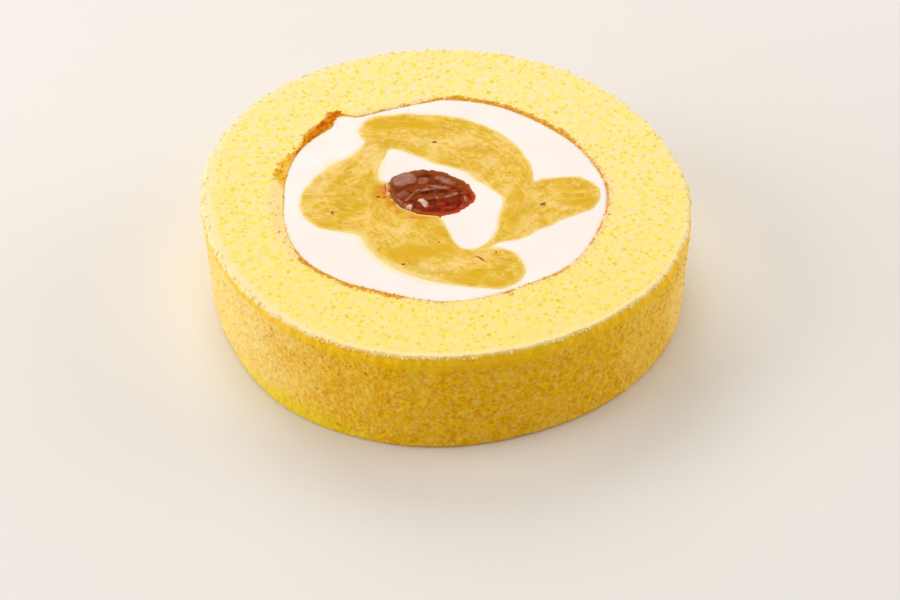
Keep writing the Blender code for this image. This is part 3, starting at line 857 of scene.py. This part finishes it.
def make_crumb():
    """Crumb of the sponge: its cut face and its ragged rim."""
    outer = MEAN_OUTER
    mesh = turn_ring("sponge_crumb", (
        (MEAN_INNER, FACE_HEIGHT - EDGE_DEPTH, CRUMB_STEP),
        (MEAN_INNER, FACE_HEIGHT, CRUMB_STEP),
        (outer - RIM_INSET, FACE_HEIGHT, CRUMB_STEP),
        (outer - 0.55 * RIM_INSET, FACE_HEIGHT - 0.2 * RIM_DEPTH, CRUMB_STEP),
        (outer - 0.2 * RIM_INSET, FACE_HEIGHT - 0.55 * RIM_DEPTH, CRUMB_STEP),
        (outer, FACE_HEIGHT - RIM_DEPTH, CRUMB_STEP),
        (outer - SKIN_THICKNESS, FACE_HEIGHT - RIM_DEPTH - SKIN_THICKNESS, HIDDEN_STEP),
        (outer - SKIN_THICKNESS, 0.0, BED_STEP),
        (MEAN_INNER, 0.0, HIDDEN_STEP),
    ))
    points, angles, radii = fit_to_roll(mesh)
    normals = get_normals(mesh)
    height, pit = crumb_relief(points)
    from_outer = (read_table(OUTER_TABLE, angles) - radii) / MM
    from_inner = (radii - read_table(INNER_TABLE, angles)) / MM
    below = (FACE_HEIGHT - points[:, 2]) / MM
    upper = np.clip(2.0 - below / RELIEF_DEPTH, 0.0, 1.0)
    height -= INNER_DIP * np.exp(-np.clip(from_inner, 0.0, None) / INNER_DIP_REACH)
    swell = rim_swell(points, angles) * upper
    swell *= np.exp(-np.clip(from_outer, 0.0, None) / SWELL_REACH)
    points[:, 2] += 0.5 * np.clip(swell, *RISE_LIMITS) * np.clip(1.0 - below, 0.0, 1.0)
    points += normals * (height * upper)[:, None]
    points[:, 0] += swell * np.cos(angles)
    points[:, 1] += swell * np.sin(angles)
    bed = points[:, 2] < WELD
    points[bed, 2] += np.clip(-height[bed], 0.0, None)
    set_points(mesh, points)
    set_marks(
        mesh, pit=pit,
        rim=1.0 - from_outer / by_angle(PALE_RIM, angles),
        browned=by_angle(BROWNED_EDGE, angles) * BROWNED_SPREAD - BROWNED_DROP - from_inner,
        amber=by_angle(AMBER_EDGE, angles) - from_inner,
        peach=by_angle(PEACH_EDGE, angles) - from_inner,
        in_from_rim=rim_distance(from_outer, below, angles),
        pale=by_angle(PALE_AND_LIT_SIDE, angles),
        rich=0.5 - points[:, 1] / RICH_REACH,
    )
    return add_piece("sponge_crumb", mesh, crumb_finish(), "sponge")


def make_skin():
    """Golden skin of the sponge's side, down to its rounded foot."""
    outer = MEAN_OUTER - RIM_OVERHANG
    inner = MEAN_OUTER - SKIN_THICKNESS - SKIN_LAP
    mesh = turn_ring("sponge_side", (
        (outer - 0.3 * RIM_INSET, FACE_HEIGHT - 0.5 * RIM_DEPTH, SKIN_STEP),
        (outer - 0.04 * RIM_INSET, FACE_HEIGHT - RIM_DEPTH, SKIN_STEP),
        (outer, FOOT_ROUND, SKIN_STEP),
        (outer - 0.3 * FOOT_ROUND, 0.3 * FOOT_ROUND, SKIN_STEP),
        (outer - FOOT_ROUND, 0.0, BED_STEP),
        (inner - FOOT_LIP, 0.0, HIDDEN_STEP / 2.0),
        (inner, FOOT_LIP, HIDDEN_STEP),
        (inner, FACE_HEIGHT - RIM_DEPTH, HIDDEN_STEP / 2.0),
    ))
    points, angles, radii = fit_to_roll(mesh)
    normals = get_normals(mesh)
    side = np.clip(normals[:, 0] * np.cos(angles) + normals[:, 1] * np.sin(angles), 0.0, 1.0)
    grit, dip = grit_relief(points)
    below_rim = (FACE_HEIGHT - points[:, 2]) / MM
    rough = np.clip((below_rim - 1.2) / 2.0, 0.25, 1.0)
    rough *= np.clip(points[:, 2] / SMOOTH_FOOT, 0.0, 1.0)
    points += normals * (grit * side * rough)[:, None]
    swell = rim_swell(points, angles) * np.clip(1.0 - (below_rim - 0.4) / 2.5, 0.0, 1.0) * 0.8
    points[:, 0] += swell * np.cos(angles)
    points[:, 1] += swell * np.sin(angles)
    set_points(mesh, points)
    set_marks(
        mesh,
        pit=dip * np.clip((below_rim - 1.5) / 2.0, 0.0, 1.0),
        band=np.clip((PAINTED_LIGHT_BAND[0] - below_rim) / (PAINTED_LIGHT_BAND[0] - PAINTED_LIGHT_BAND[1]), 0.0, 1.0),
        pale=by_angle(PALE_AND_LIT_SIDE, angles),
        lemon=by_angle(LEMON_FOOT, angles) * np.clip(1.0 - points[:, 2] / LEMON_REACH, 0.0, 1.0),
    )
    return add_piece("sponge_side", mesh, skin_finish(), "sponge")


def filling_copy(node, cell, growth):
    """A merged copy of a filling's node, grown over its gaps and cut into small cells."""
    builder = bmesh.new()
    builder.from_mesh(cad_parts[node].data)
    bmesh.ops.remove_doubles(builder, verts=builder.verts, dist=WELD)
    builder.normal_update()
    for vertex in builder.verts:
        out = Vector((vertex.normal.x, vertex.normal.y, 0.0))
        if out.length > 0.1:
            vertex.co += out.normalized() * growth
    low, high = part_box(node)
    for axis in (0, 1):
        across = Vector((1.0 - axis, float(axis), 0.0))
        count = int((high[axis] - low[axis]) / cell)
        for step in range(1, count):
            cut = low[axis] + (high[axis] - low[axis]) * step / count
            geometry = builder.verts[:] + builder.edges[:] + builder.faces[:]
            bmesh.ops.bisect_plane(builder, geom=geometry, dist=0.001 * MM,
                                   plane_co=across * cut, plane_no=across)
    mesh = bpy.data.meshes.new(node)
    builder.to_mesh(mesh)
    builder.free()
    return mesh


def outline_samples(node):
    """Rows (x, y, outward x, outward y), closely spaced along the upper outline of a node."""
    builder = bmesh.new()
    builder.from_mesh(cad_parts[node].data)
    bmesh.ops.remove_doubles(builder, verts=builder.verts, dist=WELD)
    rows = []
    for edge in builder.edges:
        faces = sorted(edge.link_faces, key=lambda face: face.normal.z)
        if faces[-1].normal.z > 0.9 and faces[0].normal.z < 0.5 and edge.verts[0].co.z > MIDDLE_HEIGHT:
            start, end = (vertex.co for vertex in edge.verts)
            for share in (0.0, 0.25, 0.5, 0.75):
                rows.append((*start.lerp(end, share)[:2], *faces[0].normal[:2]))
    builder.free()
    return np.array(rows)


def depth_inside(samples, points):
    """Distance in the XY plane from the nearest sample, in mm, below 0 outside the outline."""
    tree = kdtree.KDTree(len(samples))
    for index, (x, y, _, _) in enumerate(samples):
        tree.insert((x, y, 0.0), index)
    tree.balance()
    depths = np.empty(len(points))
    for number, (x, y, _) in enumerate(points):
        nearest, index, distance = tree.find((x, y, 0.0))
        outward = (x - nearest.x) * samples[index, 2] + (y - nearest.y) * samples[index, 3]
        depths[number] = -distance if outward > 0.0 else distance
    return depths / MM


def sway(points, depth, sways, share=1.0):
    """Push points near the outline sideways, so that the outline wavers."""
    for size, reach in sways:
        flat = points * (1.0, 1.0, 0.0)
        near = np.exp(-np.abs(depth) / SWAY_FADE) * reach * share
        points[:, 0] += near * noise_at(flat, size, 11.0)
        points[:, 1] += near * noise_at(flat, size, 23.0)


def edge_dip(depth, drop, growth):
    """Fall of a filling's face towards its grown outline, in metres."""
    return drop * np.exp(-np.clip(depth + growth / MM, 0.0, None) / DIP_FADE)


def raise_faces(mesh, height, points, lift=0.0):
    """Add relief to both cut faces: up and down above, and only inwards below."""
    upper = points[:, 2] > MIDDLE_HEIGHT
    points[upper, 2] += height[upper]
    points[~upper, 2] += np.clip(-height[~upper], 0.0, None) + lift
    set_points(mesh, points)


def patch_at(points, x, y, reach_x, reach_y):
    """A soft patch, 1 in its middle."""
    off_x = (points[:, 0] / MM - x) / reach_x
    off_y = (points[:, 1] / MM - y) / reach_y
    return np.exp(-(off_x ** 2 + off_y ** 2))


def near_path(points, path):
    """How far each point lies inside a tapering path of (x, y, half width) in mm."""
    best = np.full(len(points), NOWHERE)
    knots = np.array(path)
    for start, end in zip(knots[:-1], knots[1:]):
        for share in np.linspace(0.0, 1.0, PATH_STEPS):
            x, y, half = start + (end - start) * share
            best = np.maximum(best, half - np.hypot(points[:, 0] / MM - x, points[:, 1] / MM - y))
    return best


def patches_at(points, patches):
    """Sum of several soft patches."""
    return sum(patch_at(points, *patch) for patch in patches)


def softened(points):
    """How many times softer than elsewhere the two creams run into each other."""
    return 1.0 + BLEND_STRENGTH * np.clip(patches_at(points, BLENDED_EDGES), 0.0, 1.0)


def make_whipped_cream():
    """Whipped cream between the sponge and the sweet potato cream, and round the sauce."""
    mesh = filling_copy("whipped_cream", CREAM_STEP, CREAM_GROWTH)
    points = get_points(mesh)
    flat = points * (1.0, 1.0, 0.0)
    depth = depth_inside(outline_samples("whipped_cream"), points)
    to_swirl = -depth_inside(outline_samples("sweet_potato_cream"), points)
    to_sponge = read_table(INNER_TABLE, np.arctan2(points[:, 1], points[:, 0]))
    to_sponge = to_sponge - np.hypot(points[:, 0], points[:, 1])
    drop = np.where(to_sponge > SPONGE_EDGE, EDGE_DIP, 2.0 * EDGE_DIP)
    height = swells_at(flat, CUT_SWELLS) + CREAM_RISE - edge_dip(depth, drop, CREAM_GROWTH)
    set_marks(mesh, to_swirl=to_swirl / softened(points), to_sponge=to_sponge / MM,
              smear=near_path(points, SMEAR))
    sway(points, depth, SWAYS, to_sponge > CALM_EDGE)
    raise_faces(mesh, height, points)
    return add_piece("whipped_cream_filling", mesh, whipped_cream_finish(), "whipped_cream")


def flow_rows():
    """Rows (x, y, half width, length along, direction x, direction y) along the flow lines."""
    rows = []
    for number, line in enumerate(FLOW_LINES):
        knots = np.array(line)
        travelled = FLOW_GAP * number
        for start, end in zip(knots[:-1], knots[1:]):
            way = end - start
            length = math.hypot(way[0], way[1])
            steps = max(1, int(length / FLOW_STEP))
            for step in range(steps):
                x, y, half = start + way * step / steps
                rows.append((x, y, half, travelled + length * step / steps,
                             way[0] / length, way[1] / length))
            travelled += length
    return np.array(rows)


def flow_map(mesh, points):
    """Store a map along and across the piped bands at each corner of the mesh."""
    x = points[:, 0] / MM
    y = points[:, 1] / MM
    along = np.zeros(len(points))
    across = np.zeros(len(points))
    weight = np.full(len(points), 1e-9)
    for row_x, row_y, half, length, way_x, way_y in flow_rows():
        off_x = x - row_x
        off_y = y - row_y
        share = np.exp(-((off_x ** 2 + off_y ** 2) / (FLOW_SPREAD * half) ** 2))
        along += share * (length + off_x * way_x + off_y * way_y)
        across += share * (off_y * way_x - off_x * way_y)
        weight += share
    spread = np.column_stack([along / weight, across / weight])
    corners = np.empty(len(mesh.loops), int)
    mesh.loops.foreach_get("vertex_index", corners)
    layer = mesh.uv_layers.new(name="flow")
    layer.data.foreach_set("uv", spread[corners].astype(np.float32).ravel())
    return spread


def make_sweet_potato():
    """Swirl of sweet potato cream, dragged a little by the knife."""
    mesh = filling_copy("sweet_potato_cream", SWIRL_STEP, SWIRL_GROWTH)
    points = get_points(mesh)
    flat = points * (1.0, 1.0, 0.0)
    spread = flow_map(mesh, points)
    ribs = np.column_stack([spread[:, 0] * 0.3, spread[:, 1], np.zeros(len(points))])
    depth = depth_inside(outline_samples("sweet_potato_cream"), points)
    height = 0.08 * MM * noise_at(ribs, 1.3) + 0.06 * MM * noise_at(ribs, 0.6, 5.0)
    height *= 1.0 - np.exp(-np.clip(depth, 0.0, None) / 0.5)
    height += swells_at(flat, CUT_SWELLS) + SWIRL_RISE - edge_dip(depth, EDGE_DIP, SWIRL_GROWTH)
    set_marks(
        mesh, to_edge=depth / softened(points),
        to_sauce=-depth_inside(outline_samples("caramel_sauce"), points),
        deep=patches_at(points, YELLOW_PATCHES) * (1.0 + 0.9 * noise_at(ribs, 1.6, 9.0)),
        stain=patches_at(points, SAUCE_STAINS) * (1.0 + 0.8 * noise_at(flat, 0.9 * MM, 3.0)),
        pale=patches_at(points, PALE_PATCHES),
    )
    sway(points, depth, SWAYS)
    raise_faces(mesh, height, points, SWIRL_LIFT)
    return add_piece("sweet_potato_swirl", mesh, sweet_potato_finish(), "sweet_potato_cream")


def facets_at(points):
    """Height in metres of the sauce's plates at each point, and how much they shine, for the coat and
    for a painted reflection in the colour.
    """
    best = np.full(len(points), -0.1)
    shine = np.zeros(len(points))
    for facet_x, facet_y, long, wide, turn, level, gleam in FACETS:
        off_x = points[:, 0] / MM - facet_x
        off_y = points[:, 1] / MM - facet_y + FACET_SHIFT
        way = math.radians(turn)
        along = np.abs(off_x * math.cos(way) + off_y * math.sin(way)) / long
        across = np.abs(off_y * math.cos(way) - off_x * math.sin(way)) / wide
        away = (along ** FACET_CORNERS + across ** FACET_CORNERS) ** (1.0 / FACET_CORNERS)
        height = level - FACET_STEEPNESS * np.clip(away - 1.0, 0.0, None) * min(long, wide)
        lit = gleam * np.clip((SHINE_END - away) / SHINE_FADE, 0.0, 1.0)
        shine = np.where(height > best, lit, shine)
        best = np.maximum(best, height)
    return best * MM, shine


def make_sauce():
    """Lumpy, glossy core of caramel sauce, made of plates with dark gaps between them."""
    mesh = filling_copy("caramel_sauce", SAUCE_STEP, SAUCE_GROWTH)
    points = get_points(mesh)
    flat = points * (1.0, 1.0, 0.0)
    depth = depth_inside(outline_samples("caramel_sauce"), points)
    bent = flat.copy()
    bent[:, 0] += FACET_BEND * noise_at(flat, FACET_BEND_SIZE, 2.0)
    bent[:, 1] += FACET_BEND * noise_at(flat, FACET_BEND_SIZE, 4.0)
    height, shine = facets_at(bent)
    swell = 1.0 - np.exp(-np.clip(depth + 0.1, 0.0, None) / 0.5)
    height += 0.03 * MM * noise_at(flat, 1.1 * MM)
    height = (np.clip(height, *FACET_LIMITS) + FACET_RISE) * swell + SAUCE_RISE
    x = points[:, 0] / MM
    y = points[:, 1] / MM
    set_marks(
        mesh, to_edge=depth,
        warm=np.clip(0.5 - 0.12 * y + 0.05 * x, 0.0, 1.0),
        red=np.clip(0.3 + 0.125 * (x - y), 0.0, 1.0),
        shine=shine * (0.8 + 0.4 * noise_at(flat, 0.8 * MM, 6.0)),
    )
    sway(points, depth, (*SWAYS, SAUCE_SWAY))
    raise_faces(mesh, height, points, SAUCE_LIFT)
    return add_piece("caramel_core", mesh, sauce_finish(), "caramel_sauce")


def small_lumps(name, detail, seeds):
    """Small uneven lumps of radius 1, as templates, one for each seed."""
    templates = []
    for seed in seeds:
        builder = bmesh.new()
        bmesh.ops.create_icosphere(builder, subdivisions=detail, radius=1.0)
        for vertex in builder.verts:
            bulge = noise.noise(vertex.co * LUMP_WAVES + Vector((seed, 0.0, 0.0)))
            vertex.co *= 1.0 + LUMPINESS * bulge
        mesh = bpy.data.meshes.new(name)
        builder.to_mesh(mesh)
        builder.free()
        templates.append(mesh)
    return templates


def join_lumps(name, templates, places):
    """Join lumps at their places, (middle, three sizes, turn about Z), into one mesh."""
    builder = bmesh.new()
    for index, (middle, sizes, turn) in enumerate(places):
        template = templates[index % len(templates)]
        matrix = Matrix.LocRotScale(middle, Matrix.Rotation(turn, 3, "Z").to_quaternion(), sizes)
        template.transform(matrix)
        builder.from_mesh(template)
        template.transform(matrix.inverted())
    mesh = bpy.data.meshes.new(name)
    builder.to_mesh(mesh)
    builder.free()
    return mesh


def lay_bits(name, bits, thickness, finish):
    """Press a set of small bits, (x, y, length, width, turn), into the cut face."""
    templates = small_lumps("bit", 2, (1.0, 4.0, 7.0))
    places = []
    for x, y, length, width, turn in bits:
        middle = Vector((x * MM, y * MM, FILLING_HIGH.z + BIT_RISE))
        sizes = Vector((length / 2.0, width / 2.0, thickness)) * MM
        places.append((middle, sizes, math.radians(turn)))
    return add_piece(name, join_lumps(name, templates, places), finish, None)


def make_seam():
    """Browned end of the rolled sheet, crumbly, between the sponge and the cream."""
    lots = random.Random(5)
    templates = small_lumps("flake", 2, (2.0, 6.0, 9.0))
    places = []
    knots = np.array(SEAM)
    for start, end in zip(knots[:-1], knots[1:]):
        for share in np.linspace(0.0, 1.0, FLAKES_IN_PART, endpoint=False):
            x, y, half = start + (end - start) * share
            size = half * lots.uniform(0.25, 0.6)
            off = (half - 0.6 * size) * lots.uniform(-1.0, 1.0)
            middle = Vector((x + off * 0.85, y - off * 0.5, 0.0)) * MM
            middle.z = FACE_HEIGHT + lots.uniform(-0.12, 0.0) * MM
            sizes = Vector((size * lots.uniform(0.8, 1.3), size, 0.2 * size + 0.1)) * MM
            places.append((middle, sizes, lots.uniform(0.0, math.pi)))
    mesh = join_lumps("browned_seam", templates, places)
    return add_piece("browned_seam", mesh, seam_finish(), None)


def ring_point(radius, angle, height):
    """A point at a distance from the roll's middle."""
    return Vector((radius * math.cos(angle), radius * math.sin(angle), height))


def grain_sizes(lots, kind):
    """Random sizes of a grain along its three axes."""
    smallest, largest, flatness = kind
    size = lots.uniform(smallest, largest) * MM
    return Vector((size, size * lots.uniform(0.65, 1.0), size * flatness))


def loose_grain(lots, spot, kind):
    """Place, sizes and turn of a grain."""
    return spot, grain_sizes(lots, kind), lots.uniform(0.0, 3.0)


def make_crumbs():
    """Loose grains of crumb on the cut face, along the rim and on the side."""
    lots = random.Random(11)
    templates = small_lumps("grain", 1, (0.5, 2.5, 5.5, 8.5))
    face = []
    side = []
    for _ in range(FACE_GRAINS):
        angle = lots.uniform(0.0, math.tau)
        inner = read_table(INNER_TABLE, angle)
        radius = inner + lots.uniform(0.4 * MM, read_table(OUTER_TABLE, angle) - inner)
        spot = ring_point(radius, angle, FACE_HEIGHT - lots.uniform(0.02, 0.14) * MM)
        face.append(loose_grain(lots, spot, FACE_KIND))
    for _ in range(RIM_GRAINS):
        angle = lots.uniform(0.0, math.tau)
        off = lots.uniform(-0.35, 0.15) * by_angle(RAGGED_RIM, angle) * MM
        drop = lots.uniform(0.02, 0.6)
        radius = read_table(OUTER_TABLE, angle) + off - RIM_INSET * (0.9 - drop)
        spot = ring_point(radius, angle, FACE_HEIGHT - drop * MM)
        face.append(loose_grain(lots, spot, RIM_KIND))
    for _ in range(SIDE_GRAINS):
        height = lots.uniform(1.8 * MM, FACE_HEIGHT - 2.0 * MM)
        angle = lots.uniform(0.0, math.tau)
        spot = ring_point(outer_radius(angle, height) - lots.uniform(0.1, 0.25) * MM, angle, height)
        side.append(loose_grain(lots, spot, SIDE_KIND))
    for name, places, finish in (("face_crumbs", face, crumb_finish("face_crumbs", False)),
                                 ("side_crumbs", side, skin_finish("side_crumbs", False))):
        mesh = join_lumps(name, templates, places)
        points = get_points(mesh)
        angles = np.arctan2(points[:, 1], points[:, 0])
        blank = np.zeros(len(points))
        below = (FACE_HEIGHT - points[:, 2]) / MM
        from_outer = (read_table(OUTER_TABLE, angles) - np.hypot(points[:, 0], points[:, 1])) / MM
        set_marks(
            mesh, pit=blank, band=blank, browned=blank + NOWHERE, amber=blank + NOWHERE,
            peach=blank + NOWHERE,
            rim=0.5 * (1.2 - from_outer),
            pale=by_angle(PALE_AND_LIT_SIDE, angles),
            in_from_rim=0.3 - 2.0 * below - by_angle(WORN_RIM, angles),
            rich=0.5 - points[:, 1] / RICH_REACH,
        )
        add_piece(name, mesh, finish, None)


def make_edge_specks():
    """Small browned and peach crumbs where the sponge meets the cream."""
    lots = random.Random(23)
    templates = small_lumps("speck", 1, (3.5, 6.5, 9.5))
    places = []
    for low, high, count, reach in EDGE_SPECKS:
        for _ in range(count):
            angle = math.radians(lots.uniform(low, high))
            radius = read_table(INNER_TABLE, angle) + lots.uniform(-0.3, reach) * MM
            spot = ring_point(radius, angle, FACE_HEIGHT - lots.uniform(-0.02, 0.08) * MM)
            places.append(loose_grain(lots, spot, SPECK_KIND))
    mesh = join_lumps("edge_specks", templates, places)
    return add_piece("edge_specks", mesh, speck_finish(), None)


def make_amber():
    """Amber crumbs, close together, beside the seam."""
    lots = random.Random(31)
    templates = small_lumps("amber", 1, (1.5, 4.5, 7.5))
    places = []
    for x, y, reach_x, reach_y, count in AMBER_PATCHES:
        for _ in range(count):
            turn = lots.uniform(0.0, math.tau)
            share = math.sqrt(lots.random())
            spot = Vector((x, y, 0.0)) * MM
            spot.x += reach_x * MM * share * math.cos(turn)
            spot.y += reach_y * MM * share * math.sin(turn)
            spot.z = FACE_HEIGHT - lots.uniform(0.0, 0.15) * MM
            places.append((spot, grain_sizes(lots, AMBER_KIND), turn))
    mesh = join_lumps("amber_crumbs", templates, places)
    return add_piece("amber_crumbs", mesh, amber_finish(), None)


def make_bits():
    """Skin fibres and drops of sauce on the filling."""
    lay_bits("skin_fibres", FIBRES, FIBRE_THICKNESS, fibre_finish())
    lay_bits("caramel_drops", SAUCE_DROPS, DROP_THICKNESS, drop_finish())


def make_floor():
    """Plain pale floor under the cake."""
    builder = bmesh.new()
    bmesh.ops.create_grid(builder, x_segments=1, y_segments=1, size=FLOOR_SIZE / 2.0)
    mesh = bpy.data.meshes.new("floor")
    builder.to_mesh(mesh)
    builder.free()
    mesh.materials.append(floor_finish())
    floor = bpy.data.objects.new("floor", mesh)
    bpy.context.scene.collection.objects.link(floor)


def make_camera():
    """Camera at the angle from which the slice is shown."""
    camera = bpy.data.cameras.new("camera")
    camera.lens = LENS_MM
    camera.sensor_width = SENSOR_MM
    camera.clip_start = 0.01
    camera.clip_end = 20.0
    holder = bpy.data.objects.new("camera", camera)
    back = Vector((0.0, -math.cos(CAMERA_RISE), math.sin(CAMERA_RISE)))
    holder.location = CAMERA_AIM + back * CAMERA_REACH
    holder.rotation_euler = (-back).to_track_quat("-Z", "Y").to_euler()
    bpy.context.scene.collection.objects.link(holder)
    bpy.context.scene.camera = holder


def add_lamp(name, place, size, power, colour):
    """A square soft light, aimed at the middle of the cake."""
    lamp = bpy.data.lights.new(name, "AREA")
    lamp.shape = "SQUARE"
    lamp.size = size
    lamp.energy = power
    lamp.color = colour
    holder = bpy.data.objects.new(name, lamp)
    holder.location = place
    holder.rotation_euler = (-Vector(place)).to_track_quat("-Z", "Y").to_euler()
    bpy.context.scene.collection.objects.link(holder)


def light_scene():
    """Soft studio light from behind and above, with weaker lights from both sides."""
    for lamp in LAMPS:
        add_lamp(*lamp)
    world = bpy.data.worlds.new("studio")
    world.use_nodes = True
    background = world.node_tree.nodes["Background"]
    background.inputs["Color"].default_value = (*DAYLIGHT, 1.0)
    background.inputs["Strength"].default_value = WORLD_STRENGTH
    bpy.context.scene.world = world
    bpy.context.scene.view_settings.view_transform = "Standard"


def main():
    make_camera()
    light_scene()
    make_floor()
    make_crumb()
    make_skin()
    make_whipped_cream()
    make_sweet_potato()
    make_sauce()
    make_seam()
    make_bits()
    make_amber()
    make_crumbs()
    make_edge_specks()


main()
